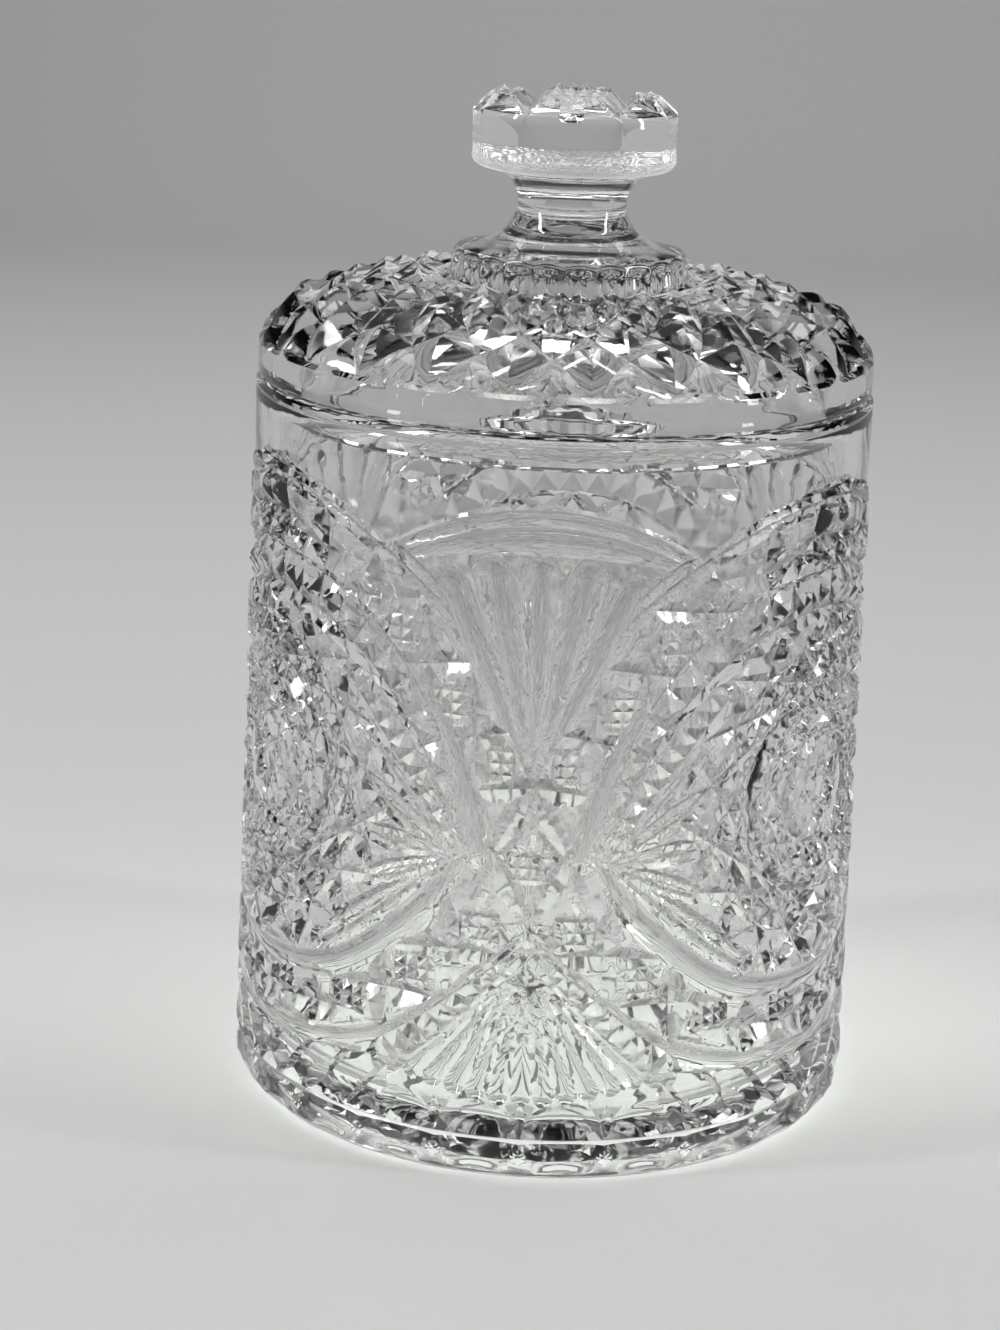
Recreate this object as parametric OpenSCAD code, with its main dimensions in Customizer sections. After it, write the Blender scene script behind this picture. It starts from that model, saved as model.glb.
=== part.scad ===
// Lidded jar of pressed glass: a footed cylindrical jar with an imitation-cut wall, and a domed lid
// whose flange drops loosely into the mouth. Millimetres, +Z up, origin at the centre of the base.

/* [Jar] */
// Height of the jar from the table to its rim
jar_h = 167; // [139:1:201]
// Outer radius of the plain collar under the rim
collar_r = 70.4; // [60:0.2:85]
// How much the wall widens from the collar down to the foot
flare = 3; // [0:0.2:5]
// Wall thickness at the plain collar
wall_t = 5.2; // [4:0.2:6.4]
// Thickness of the glass under the inside floor
base_t = 10; // [8:0.5:14]
// Radius of the rounded corner between the inside wall and the floor
corner_r = 9; // [5:0.5:12]
// Height of the plain collar
collar_h = 15; // [12:0.5:20]
// Height of the foot ring with its lens facets
foot_h = 9.5; // [8:0.5:12]
// How far the underside is hollowed, inside the ring that the jar stands on
hollow_h = 2.4; // [1.5:0.1:3]
// Width of the ring that the jar stands on
stand_w = 7; // [5:0.5:10]

/* [Lid] */
// Height of the dome from the rim to the foot of the knob's collar
dome_h = 25.5; // [21:0.5:31]
// Thickness of the dome
lid_t = 5; // [4:0.2:6]
// Radius of the dome's rounded shoulder
shoulder_r = 14; // [11:0.5:17]
// Depth of the flange that drops into the mouth
flange_h = 8; // [6:0.5:10]
// Thickness of the flange
flange_t = 3.6; // [3:0.1:4.4]
// Gap all round between the flange and the mouth
flange_gap = 1.8; // [1.2:0.1:2.4]

/* [Knob] */
// Radius of the knob's disc
knob_r = 23; // [19:0.5:28]
// Thickness of the disc between its bevels
disc_t = 12; // [10:0.5:15]
// Height of the cut crown on the disc
crown_h = 5; // [4:0.2:6]
// Radius of the neck at its narrowest
neck_r = 12.2; // [10:0.2:15]
// Height from the collar's shoulder to the underside of the disc
neck_h = 18; // [15:0.5:22]
// Radius of the fluted collar at the foot of the neck
step_r = 26; // [22:0.5:31]
// Height of that collar above the dome
step_h = 4.5; // [3.5:0.1:5.5]

/* [Cut pattern] */
// Panels round the jar, each a fan and a star medallion
panels = 3; // [3:1:3]
// Diamond points, foot facets and collar flutes round the circle
points = 24; // [20:2:28]
// Flutes in each fan
fan_flutes = 5; // [3:2:7]
// Points of the star in each medallion
star_points = 8; // [6:1:8]
// Depth of the V-grooves in the wall
cut_d = 1.6; // [1.2:0.1:2]
// Depth of the V-grooves on the dome
dome_cut_d = 2.6; // [2:0.1:2.8]
// Rows of diamond points from the band to the knob's collar
dome_rows = 5; // [4:1:6]

/* [Hidden] */
glass = [0.86, 0.88, 0.88, 0.4];
eps = 0.5;
vee_half = 52;      // half the angle between the sides of a V-groove
rise = 1.5;         // how far a cutter stands out of the glass
lip = 0.15;         // the same at the ends of a mitre cut, so that it runs out cleanly

// Radii and heights of the jar that follow from the sizes above
foot_r = collar_r + flare;
bore_r = collar_r - wall_t;
draft = 1.4;
bevel = 1.2;
bulge = 0.6;
stand_r = foot_r - 3;
base_r = stand_r - stand_w - hollow_h;
field_lo = foot_h + 1;
field_h = jar_h - collar_h - field_lo;
panel_a = 360 / panels;
step_a = 360 / points;

// Main lines of a panel, as shares of the height of the cut field
arch_top = 0.99;
cusp_at = 0.925;
arch_low = 0.927;
fan_head = 0.915;
fan_foot = 0.575;
band_top = 0.868;
band_in = 0.805;
tip_at = 0.455;
star_mid = 0.525;
smile = 0.2;
low_star = 0.355;
low_foot = 0.295;
low_head = 0.1;
hip_at = 0.13;
toe_at = 0.08;

// Places round a panel, as shares of it, and slopes of the planes that the arches lie in
cusp_a = 0.235;
hip_a = 0.19;
toe_a = 0.33;
tip_a = 0.11;
fan_tilt = 49;
outer_tilt = 47;
band_tilt = 50;
smile_tilt = -48;
arch_span = 80;
smile_span = 110;
smile_r = 4;

// The fans: degrees between flutes, radius of a flute's head, then the shares at which a flute starts, of how
// thin it is there, and of how much lower its head ends than the one inside it
fan_step = 8;
fan_r = 3.4;
low_step = 5;
low_r = 2.6;
flute_start = 0.2;
flute_taper = 0.4;
head_drop = 0.004;

// Crossed mitre cuts: degrees from the fan's axis, share of the height, half width in degrees and half height
crossings = [[10.5, 0.643, 8, 15], [19.7, 0.748, 10, 14], [29.6, 0.837, 11, 9], [43.3, 0.887, 11, 8],
    [13.5, 0.3, 9, 12], [26, 0.215, 11, 11], [42, 0.155, 11, 8], [60, 0.14, 9, 8]];
cross_w = 2.6;
// Leaves that spread from the medallion's tip: degrees and share of the height where each one ends
leaves = [[30.4, 0.625], [31, 0.548], [30.3, 0.47], [30.6, 0.392], [41.5, 0.262]];
leaf_w = 2.4;
// Slanted cuts over the foot, from this many degrees off the fan's axis
slants = 3;
slant_a = 38;
slant_step = 7;
slant_end = 0.01;
// The star: its reach, how many points a chord skips, half widths of the cuts, and the rosette's share of it
star_r = 30;
star_skip = 3;
star_w = 2.2;
rosette_w = 1.4;
star_eye = 0.34;

// Radii and heights of the lid that follow
lid_r = collar_r - 0.4;
flange_r = bore_r - flange_gap;
shoulder_z = jar_h + dome_h - 6 - shoulder_r;
dome_top = jar_h + dome_h;
step_top = dome_top + step_h;
disc_z = step_top + neck_h;
crown_z = disc_z + disc_t;
turn_low = 10;      // where the diamond points start on the round of the shoulder
turn_end = 72;      // where the round of the shoulder runs into the cone of the dome
cone_lean = 78;     // and how far the way into that cone leans up from level
row_taper = 1.22;   // how fast the rows of diamond points get narrower towards the knob
bow = 1.5;          // how much the dome rises over that cone
ledge = 0.4;        // how far the diamond points stand back from the smooth band
collar_flute_r = 2.6;
crown_step = knob_r * 0.22;
waist_r = neck_h * 0.46;

// Height of a line of the pattern, from its share of the cut field
function level(share) = field_lo + share * field_h;
// Radius of the uncut wall at height z
function wall_r(z) = foot_r - flare * (z - field_lo) / field_h;
// The point at angle a from the front and radius r
function around(a, r, z) = [r * sin(a), -r * cos(a), z];
// A spot (angle, height) of the wall as a point
function on_wall(p) = around(p[0], wall_r(p[1]), p[1]);
// A point of the shoulder's round, at angle a above its middle, as [radius, height]
function shoulder(a) = [lid_r - shoulder_r * (1 - cos(a)), shoulder_z + shoulder_r * sin(a)];
function unit(v) = v / norm(v);

// A V profile: its point at the origin, open towards -Y
module vee(h, half = vee_half) polygon([[0, 0], [-h * tan(half), -h], [h * tan(half), -h]]);

// A straight V-groove from point p to point q, dep deep, open towards out
module groove(p, q, out, dep, half = vee_half, up = rise) {
    z = unit(q - p);
    y = -unit(out - (out * z) * z);
    x = cross(y, z);
    m = (p + q) / 2;
    multmatrix([[x[0], y[0], z[0], m[0]], [x[1], y[1], z[1], m[1]], [x[2], y[2], z[2], m[2]], [0, 0, 0, 1]])
        translate([0, dep, 0]) linear_extrude(norm(q - p), center = true) vee(dep + up, half);
}

// The same between two spots of the wall, dep deep at its middle and shallower where the wall curves away
module wall_cut(p, q, dep = cut_d) {
    out = around((p[0] + q[0]) / 2, 1, 0);
    sag = wall_r((p[1] + q[1]) / 2) * (1 - cos((p[0] - q[0]) / 2));
    groove(on_wall(p) + sag * out, on_wall(q) + sag * out, out, dep);
}

// A mitre cut between two spots of the wall: deepest and widest in its middle, it runs out at both ends. Its
// sides go on outwards, past the sag of a straight line under the round wall, so that they clear the wall.
module mitre(p, q, wide, dep) {
    m = (p + q) / 2;
    a = on_wall(p) + around(p[0], lip, 0);
    b = on_wall(q) + around(q[0], lip, 0);
    out = around(m[0], 1, 0);
    up = 1.2 * norm(on_wall(m) - (a + b) / 2);
    side = wide * (dep + up) / dep * unit(cross(b - a, out));
    edge = on_wall(m) + up * out;
    polyhedron([a, b, edge + side, edge - side, on_wall(m) - dep * out, edge + rise * out],
        [[0, 2, 4], [0, 4, 3], [1, 4, 2], [1, 3, 4], [0, 5, 2], [0, 3, 5], [1, 2, 5], [1, 5, 3]]);
}

// The wall's section by a plane that slopes by tilt from its crown at (a, z), as a ring to sweep a profile on
module ring(a, z, tilt, span, dep) translate([0, 0, z]) rotate([0, 0, a]) translate([0, -wall_r(z), 0])
    rotate([-tilt, 0, 0]) translate([0, ring_r(z, tilt), 0]) rotate([0, 0, -90 - span / 2])
        rotate_extrude(angle = span, $fn = 96) translate([ring_r(z, tilt) - dep / cos(tilt), 0]) children();
function ring_r(z, tilt) = wall_r(z) * cos(tilt) * 1.07;

// An arched V-groove, and an arched flute with a round section
module arch(a, z, tilt, span, dep = cut_d) ring(a, z, tilt, span, dep) rotate(90 - tilt) vee(dep + 2 * rise);
module arch_flute(a, z, tilt, span, flute_r) ring(a, z, tilt, span, cut_d - flute_r)
    circle(flute_r, $fn = 48);

// A flute of a fan: a cone along the wall, from spot p to its wide end at q
module fan_flute(p, q, head_r, dep) {
    z = unit(on_wall(q) - on_wall(p));
    out = around((p[0] + q[0]) / 2, 1, 0);
    y = -unit(out - (out * z) * z);
    x = cross(y, z);
    m = on_wall(p);
    multmatrix([[x[0], y[0], z[0], m[0]], [x[1], y[1], z[1], m[1]], [x[2], y[2], z[2], m[2]], [0, 0, 0, 1]])
        translate([0, dep - head_r, 0])
            cylinder(h = norm(on_wall(q) - m), r1 = head_r * flute_taper, r2 = head_r, $fn = 48);
}

// A fan of flutes that spreads from its foot; only the outer part of each flute is cut
module fan(foot, head, spread, count, head_r) {
    mid = (count - 1) / 2;
    for (i = [-mid:mid]) {
        top = head - head_drop * i * i * sign(head - foot);
        low = foot + flute_start * (head - foot);
        fan_flute([i * spread * flute_start, level(low)], [i * spread, level(top)], head_r, cut_d * 1.4);
    }
}

// A spot of the wall at angle t and distance r from spot c
function from_spot(c, t, r) = c + r * [sin(t) * 180 / PI / wall_r(c[1]), cos(t)];

// Chords that cross in a star about spot c, with a rosette inside them
module star(c, r, skip) {
    turn = 360 / star_points;
    for (i = [0:star_points - 1])
        mitre(from_spot(c, i * turn, r), from_spot(c, (i + skip) * turn, r), star_w, cut_d * 1.3);
    rosette(c, r * star_eye, star_points);
}

// Mitre cuts through one spot
module rosette(c, r, rays) for (i = [0:rays - 1])
    mitre(from_spot(c, i * 180 / rays, r), from_spot(c, i * 180 / rays + 180, r), rosette_w, cut_d);

// Lines over the fan and over the medallion
module arches() {
    arch(0, level(arch_top), fan_tilt, arch_span);
    arch(0, level(arch_low), fan_tilt, arch_span - 2);
    arch(panel_a / 2, level(arch_top), outer_tilt, arch_span);
}

// The two lines over the star, and the smooth flute under it
module medallion() {
    arch(panel_a / 2, level(band_top), band_tilt, arch_span + 6);
    arch(panel_a / 2, level(band_in), band_tilt, arch_span);
    arch_flute(panel_a / 2, level(smile), smile_tilt, smile_span, smile_r);
}

// The V that closes the upper fan and the one over the lower fan
module vee_lines() for (s = [-1, 1]) {
    cusp = [s * panel_a * cusp_a, level(cusp_at)];
    mid = [cusp[0] / 2, level((cusp_at + fan_foot) / 2)];
    wall_cut([s * 0.6, level(fan_foot)], mid);
    wall_cut(mid, cusp);
    hip = [s * panel_a * hip_a, level(hip_at)];
    wall_cut([s * 0.6, level(low_star)], hip);
    wall_cut(hip, [s * panel_a * toe_a, level(toe_at)]);
}

// Crosses of two mitre cuts beside the fans. One in the middle of a medallion is made once
module crosses() for (c = crossings, s = c[0] < panel_a / 2 ? [-1, 1] : [1]) {
    z = level(c[1]);
    mitre([s * c[0], z - c[3]], [s * c[0], z + c[3]], cross_w, cut_d * 1.2);
    mitre([s * c[0] - c[2], z], [s * c[0] + c[2], z], cross_w, cut_d * 1.2);
}

// The leaves at the two sides of a panel, the V between them, and the slanted cuts over the foot
module leaf_cuts() for (s = [-1, 1]) {
    for (l = leaves)
        mitre([s * panel_a * tip_a, level(tip_at)], [s * l[0], level(l[1])], leaf_w, cut_d * 1.5);
    mitre([s * panel_a * tip_a / 2, level(tip_at)], [0, level(low_star)], leaf_w, cut_d);
    for (i = [0:slants - 1]) mitre([s * (slant_a + i * slant_step), level(toe_at)],
        [s * (slant_a + (i + 1.7) * slant_step), level(slant_end)], leaf_w, cut_d);
}

module jar() color(glass) difference() {
    jar_body();
    for (i = [0:panels - 1]) rotate([0, 0, i * panel_a]) arches();
    for (i = [0:panels - 1]) rotate([0, 0, i * panel_a]) fan(fan_foot, fan_head, fan_step, fan_flutes, fan_r);
    for (i = [0:panels - 1]) rotate([0, 0, i * panel_a]) fan(low_foot, low_head, low_step, fan_flutes, low_r);
    for (i = [0:panels - 1]) rotate([0, 0, i * panel_a]) vee_lines();
    for (i = [0:panels - 1]) rotate([0, 0, i * panel_a]) medallion();
    for (i = [0:panels - 1]) rotate([0, 0, i * panel_a]) crosses();
    for (i = [0:panels - 1]) rotate([0, 0, i * panel_a]) leaf_cuts();
    for (i = [0:panels - 1]) rotate([0, 0, i * panel_a])
        star([panel_a / 2, level(star_mid)], star_r, star_skip);
    foot_facets();
    base_rays();
}

// Flat facets round the bulge of the foot ring: each one ends in a point, like a lens
module foot_facets() translate([0, 0, foot_h - 7.5]) linear_extrude(7) difference() {
    circle(foot_r + 5, $fn = 96);
    polygon([for (i = [0:points - 1]) (foot_r + bulge) * [cos(i * step_a), sin(i * step_a)]]);
}

// The rays of the star under the base
module base_rays() for (i = [0:points / 2 - 1]) {
    a = i * 2 * step_a;
    groove(around(a, 14, hollow_h), around(a, base_r - 4, hollow_h), [0, 0, -1], hollow_h / 2, vee_half, 0.8);
}

// The uncut jar: wall, foot ring, rim, bore and hollowed underside
module jar_body() difference() {
    rotate_extrude($fn = 180) polygon([[0, hollow_h], [base_r, hollow_h],
        [stand_r - stand_w, 0], [stand_r, 0], [foot_r - 0.5, foot_h * 0.35], [foot_r + bulge, foot_h * 0.62],
        [foot_r - 0.6, foot_h], [foot_r, field_lo], [collar_r, jar_h - collar_h], [collar_r, jar_h - bevel],
        [collar_r - bevel, jar_h], [0, jar_h]]);
    rotate_extrude($fn = 180) {
        polygon([[0, base_t], [bore_r - draft - corner_r, base_t], [bore_r - draft, base_t + corner_r],
            [bore_r, jar_h - 1], [bore_r + 1, jar_h], [bore_r + 1, jar_h + eps], [0, jar_h + eps]]);
        translate([bore_r - draft - corner_r, base_t + corner_r]) circle(corner_r, $fn = 64);
    }
}

module lid() color(glass) union() {
    dome();
    difference() {
        knob();
        crown_cuts();
        rotate([0, 0, 90]) crown_cuts();
        for (i = [0:points - 1]) rotate([0, 0, (i + 0.5) * step_a])
            translate([0, 1 - step_r - collar_flute_r, dome_top - 5])
                cylinder(h = step_h + 8, r = collar_flute_r, $fn = 32);
    }
}

// Parallel V-grooves across the knob's crown: every second one is deep
module crown_cuts() for (i = [-4:4]) {
    dep = abs(i) == 2 ? crown_h - 0.6 : crown_h * 0.3;
    translate([i * crown_step, 0, crown_z + crown_h - dep]) rotate([90, 0, 0])
        linear_extrude(3 * knob_r, center = true) rotate(180) vee(crown_h + rise, 42);
}

// The dome: a smooth band with its flange, the diamond points over it, and the hollow
module dome() difference() {
    inner_r = flange_r - flange_t;
    foot = shoulder(turn_low);
    end = shoulder(turn_end);
    union() {
        rotate_extrude($fn = 180) {
            intersection() {
                translate([lid_r - shoulder_r, shoulder_z]) circle(shoulder_r, $fn = 96);
                translate([lid_r - shoulder_r, shoulder_z]) square([shoulder_r, foot[1] - shoulder_z]);
            }
            polygon([[0, jar_h - flange_h], [flange_r, jar_h - flange_h], [flange_r, jar_h],
                [lid_r - bevel, jar_h], [lid_r, jar_h + bevel], [lid_r, shoulder_z],
                [lid_r - shoulder_r, shoulder_z], [lid_r - shoulder_r, foot[1]], [0, foot[1]]]);
        }
        diamond_points();
    }
    rotate_extrude($fn = 180) polygon([[0, jar_h - flange_h - eps], [inner_r, jar_h - flange_h - eps],
        [inner_r, shoulder_z + 1], [inner_r - 8, end[1] - lid_t], [step_r, dome_top - lid_t - 0.5],
        [0, dome_top - lid_t]]);
}

// The dome's outline at row t of the diamond points, as [radius, height]: round in the first row, then a
// bowed cone, whose rows get narrower towards the knob
function share(t) = 1 - pow((dome_rows - t) / (dome_rows - 1), row_taper);
function outline(t) = t <= 1 ? shoulder(turn_low + (turn_end - turn_low) * t)
    : shoulder(turn_end) * (1 - share(t)) + [step_r + 1, dome_top + 4 * bow * (1 - share(t))] * share(t);
// The way into the dome at row t, and the corner in column k that lies deep under the outline
function lean(t) = t == 0 ? 0 : t <= 1 ? turn_low + (turn_end - turn_low) * t : cone_lean;
function corner(t, k, deep) = let (p = outline(t) - deep * [cos(lean(t)), sin(lean(t))])
    around(k * step_a / 2, p[0], p[1]);

// Rows of pyramids. In each row, tips take turns with crossings of the grooves, and the grooves are diagonals
// of the squares between the rows. In the first row each upright edge has one more corner, so that it is round.
module diamond_points() {
    n = 2 * points;
    corners = [for (t = [0:dome_rows], k = [0:n - 1])
        corner(t, k, (t + k) % 2 == 1 ? (t == 0 ? 2 * ledge : dome_cut_d) : (t == 0 ? ledge : 0))];
    mids = [for (k = [0:n - 1]) corner(0.5, k, dome_cut_d * 0.35)];
    top = len(corners) + n;
    sides = [for (t = [0:dome_rows - 1], k = [0:n - 1])
        let (l = (k + 1) % n, a = t * n + k, b = t * n + l, c = a + n, d = b + n)
        let (e = top - n + k, f = top - n + l)
        each (t + k) % 2 == 1
            ? (t == 0 ? [[a, f, b], [a, d, f], [a, e, d], [e, c, d]] : [[a, d, b], [a, c, d]])
            : (t == 0 ? [[b, c, f], [c, d, f], [a, e, b], [e, c, b]] : [[a, c, b], [b, c, d]])];
    cap = [for (k = [0:n - 1]) [dome_rows * n + k, top, dome_rows * n + (k + 1) % n]];
    polyhedron(concat(corners, mids, [[0, 0, dome_top - 2]]), concat([[for (k = [0:n - 1]) k]], sides, cap));
}

// The uncut knob: fluted collar, waisted neck and disc with its crown
module knob() rotate_extrude($fn = 120) difference() {
    polygon([[0, dome_top - 4], [step_r - 0.5, dome_top - 4], [step_r + 1, dome_top], [step_r, step_top - 1],
        [step_r - 1.6, step_top], [step_r - 6, step_top + 1], [knob_r * 0.72, disc_z - 0.6],
        [knob_r - 2, disc_z], [knob_r, disc_z + 2], [knob_r, crown_z], [knob_r - 3, crown_z + crown_h],
        [0, crown_z + crown_h]]);
    translate([neck_r + waist_r, step_top + 1 + waist_r]) circle(waist_r, $fn = 64);
}

jar();
lid();
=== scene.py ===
"""Looks of a lidded jar of pressed glass, round its CAD frame. Lengths are millimetres up to each mesh."""

import math

import bpy
import numpy as np
from mathutils import Matrix, Vector

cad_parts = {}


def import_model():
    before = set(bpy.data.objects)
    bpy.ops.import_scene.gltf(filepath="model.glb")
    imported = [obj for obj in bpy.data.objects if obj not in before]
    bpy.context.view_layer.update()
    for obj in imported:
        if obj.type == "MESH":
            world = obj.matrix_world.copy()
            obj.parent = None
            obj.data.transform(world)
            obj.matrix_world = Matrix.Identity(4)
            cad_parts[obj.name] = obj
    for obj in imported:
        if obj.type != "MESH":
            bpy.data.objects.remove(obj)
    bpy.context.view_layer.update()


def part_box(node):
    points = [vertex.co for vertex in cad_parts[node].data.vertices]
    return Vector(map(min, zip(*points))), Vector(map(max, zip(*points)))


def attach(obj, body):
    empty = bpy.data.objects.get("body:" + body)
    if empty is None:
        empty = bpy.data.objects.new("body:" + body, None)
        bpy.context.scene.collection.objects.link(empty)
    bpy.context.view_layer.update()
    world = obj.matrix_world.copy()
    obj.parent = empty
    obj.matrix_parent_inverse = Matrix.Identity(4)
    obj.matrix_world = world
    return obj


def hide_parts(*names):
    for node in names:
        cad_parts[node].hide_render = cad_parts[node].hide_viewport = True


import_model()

MM = 0.001
FULL_SHADE_CUT = 2.4  # the depth of cut at which the painted shade in the glass's colour is darkest
SHARP_DEG = 24  # edges that turn by more than this are drawn sharp


def mm(length):
    """A length of the frame in millimetres, without the rounding of its file."""
    return round(length / MM, 3)


# ---------------------------------------------------------------- sizes, from the frame or as in the CAD
jar_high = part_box("jar")[1]
lid_low, lid_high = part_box("lid")
JAR_H = mm(jar_high.z)
FOOT_FACE = mm(jar_high.x)
LID_R = mm(lid_high.x)
CROWN_TOP = mm(lid_high.z)
FLANGE_H = JAR_H - mm(lid_low.z)

FLARE, BULGE, WALL_T = 3.0, 0.6, 5.2
FOOT_R = FOOT_FACE - BULGE
COLLAR_R = FOOT_R - FLARE
COLLAR_FOOT = JAR_H - 15.0
FIELD_LO = 10.5
BORE_R = COLLAR_R - WALL_T
DRAFT = 1.4
FLOOR_Z = 10.0
CORNER_R = 9.0
HOLLOW_H = 2.4
STAND_R = FOOT_R - 3.0
STAND_W = 7.0

FLANGE_R = BORE_R - 1.8
FLANGE_T = 3.6
LID_T = 5.0
DOME_TOP = JAR_H + 25.5
SHOULDER_R = 14.0
SHOULDER_Z = DOME_TOP - 6.0 - SHOULDER_R
TURN_END = 72.0
STEP_R = 26.0
STEP_TOP = DOME_TOP + 4.5
DISC_Z = STEP_TOP + 18.0
KNOB_R = 23.0
CROWN_H = 5.0
CROWN_Z = CROWN_TOP - CROWN_H


# ---------------------------------------------------------------- mesh tools
class Shell:
    """A closed skin made of rings, each joined to the one before it."""

    def __init__(self):
        self.points = []
        self.painted_shades = []
        self.faces = []
        self.count = 0

    def add(self, xyz, depth=0.0):
        """Adds points, cut to a share of the full depth that sets their painted shade, and returns their
        numbers in the same shape.
        """
        xyz = np.asarray(xyz, float)
        flat = xyz.reshape(-1, 3)
        self.points.append(flat)
        # painted shade for each point, which the glass's colour reads
        self.painted_shades.append(np.broadcast_to(depth, xyz.shape[:-1]).ravel())
        first = self.count
        self.count += len(flat)
        return np.arange(first, self.count).reshape(xyz.shape[:-1])

    def join(self, a, b):
        """Triangles between two closed rings. One may have several times as many points as the other."""
        many, few = (a, b) if len(a) >= len(b) else (b, a)
        k = len(many) // len(few)
        i = np.arange(len(few))
        nxt = np.roll(few, -1)
        out = []
        for m in range(k):
            m0 = many[(i * k + m) % len(many)]
            m1 = many[(i * k + m + 1) % len(many)]
            out.append(np.stack([m0, m1, few if m < (k + 1) // 2 else nxt], -1))
        turn = many[(i * k + (k + 1) // 2) % len(many)]
        out.append(np.stack([turn, nxt, few], -1))
        faces = np.concatenate(out)
        self.faces.append(faces if len(a) >= len(b) else faces[:, ::-1])

    def turn(self, last, outline, count):
        """Carries the skin on from a ring through rings at the spots (radius, height) of an outline."""
        for r, z in outline:
            nxt = self.add(ring(r, z, count))
            self.join(last, nxt)
            last = nxt
        return last

    def cap(self, edge, z, closes):
        """A fan between a ring and a point at height z on the axis."""
        tips = np.full(len(edge), self.add([[0, 0, z]])[0])
        nxt = np.roll(edge, -1)
        self.faces.append(np.stack([edge, nxt, tips] if closes else [nxt, edge, tips], -1))

    def grid(self, number, other):
        """Triangles over a grid of closed columns. other says which squares are split the other way."""
        a = number
        b = np.roll(number, -1, axis=0)
        a, b, c, d = a[:, :-1], b[:, :-1], b[:, 1:], a[:, 1:]
        one = np.stack([np.stack([a, b, c], -1), np.stack([a, c, d], -1)], -2)
        two = np.stack([np.stack([a, b, d], -1), np.stack([b, c, d], -1)], -2)
        self.faces.append(np.where(other[..., None, None], two, one).reshape(-1, 3))

    def piece(self, name):
        """The skin as an object, smooth except at its sharp edges."""
        points = np.concatenate(self.points) * MM
        faces = np.concatenate(self.faces)
        mesh = bpy.data.meshes.new(name)
        mesh.vertices.add(len(points))
        mesh.vertices.foreach_set("co", points.ravel())
        mesh.loops.add(faces.size)
        mesh.loops.foreach_set("vertex_index", faces.ravel().astype(np.int32))
        mesh.polygons.add(len(faces))
        mesh.polygons.foreach_set("loop_start", np.arange(0, faces.size, 3, dtype=np.int32))
        mesh.update(calc_edges=True)
        mesh.validate()
        mesh.shade_smooth()
        mesh.set_sharp_from_angle(angle=math.radians(SHARP_DEG))
        # painted shade: each point's darkening in the glass's colour, from how deep it is cut
        cuts = mesh.attributes.new("shade_by_cut", "FLOAT", "POINT")
        cuts.data.foreach_set("value", np.concatenate(self.painted_shades).astype(np.float32))
        made = bpy.data.objects.new(name, mesh)
        bpy.context.scene.collection.objects.link(made)
        return made


def turned(deg, r, z):
    """Points at angles deg from the front, radii r and heights z."""
    a = np.radians(deg)
    r, z, a = np.broadcast_arrays(r, z, a)
    return np.stack([r * np.sin(a), -r * np.cos(a), z], -1)


def ring(r, z, count):
    return turned(np.arange(count) * 360 / count, r, z)


def snapped(field, u, v, du, dv, scale):
    """One point per cell of a grid, moved onto any crease of field(u, v) that crosses the cell.

    Sixteen tangent planes of the cell meet best at that point. scale is the millimetres per unit of u
    at each row.
    """
    near, half = 0.16, 0.49  # in cells, and half is a little less than 1 / 2 so that no two points meet
    off = np.array([-half, -near, near, half])
    shape = (len(u), len(v), 4, 4)
    du_all = np.broadcast_to((du * off)[None, None, :, None], shape)
    dv_all = np.broadcast_to(dv[None, :, None, None] * off[None, None, None, :], shape)
    x = u[:, None, None, None] + du_all
    y = v[None, :, None, None] + dv_all
    wide = np.broadcast_to(scale[None, :, None, None], shape)
    e = 0.02  # half the distance over which the slope is measured
    pull = 0.06  # how strongly a point is drawn to the middle of its cell
    f = field(x, y)
    fx = (field(x + e / wide, y) - field(x - e / wide, y)) / (2 * e)
    fy = (field(x, y + e) - field(x, y - e)) / (2 * e)
    n = np.stack([-fx, -fy, np.ones_like(f)], -1)
    n /= np.linalg.norm(n, axis=-1, keepdims=True)
    mean = f.mean((2, 3), keepdims=True)
    p = np.stack([du_all * wide, dv_all, f - mean], -1)
    n = n.reshape(len(u), len(v), 16, 3)
    p = p.reshape(len(u), len(v), 16, 3)
    left = np.einsum("...ki,...kj->...ij", n, n) + pull * np.eye(3)
    right = np.einsum("...ki,...k->...i", n, np.einsum("...ki,...ki->...k", n, p))
    best = np.linalg.solve(left, right[..., None])[..., 0]
    move_u = np.clip(best[..., 0] / scale[None, :], -half * du, half * du)
    move_v = np.clip(best[..., 1], -half * dv[None, :], half * dv[None, :])
    return u[:, None] + move_u, v[None, :] + move_v


def corners(grid):
    """The values at the four corners of each square of a grid, in turn round it."""
    return grid[:-1, :-1], grid[1:, :-1], grid[1:, 1:], grid[:-1, 1:]


def splits(field, x, y, h):
    """Which squares of a grid of points fit the field better when split the other way."""
    xa, xb, xc, xd = corners(x)
    ya, yb, yc, yd = corners(y)
    ha, hb, hc, hd = corners(h)
    miss_one = abs(field((xa + xc) / 2, (ya + yc) / 2) - (ha + hc) / 2)
    miss_two = abs(field((xb + xd) / 2, (yb + yd) / 2) - (hb + hd) / 2)
    return miss_two < miss_one


def mirrored_round(x, y, h, other, sector, folds):
    """Copies half a sector, between two mirror planes, all round: columns of angle, height and value."""
    n = len(x) - 1
    deg, rows, value, flips = [], [], [], []
    for c in range(2 * n * folds):
        m = c % (2 * n)
        i = m if m <= n else 2 * n - m
        start = (c // (2 * n)) * 2 * sector
        deg.append(start + (x[i] if m <= n else 2 * sector - x[i]))
        rows.append(y[i])
        value.append(h[i])
        flips.append(other[m] if m < n else ~other[2 * n - 1 - m])
    return np.array(deg), np.array(rows), np.array(value), np.array(flips)


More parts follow.
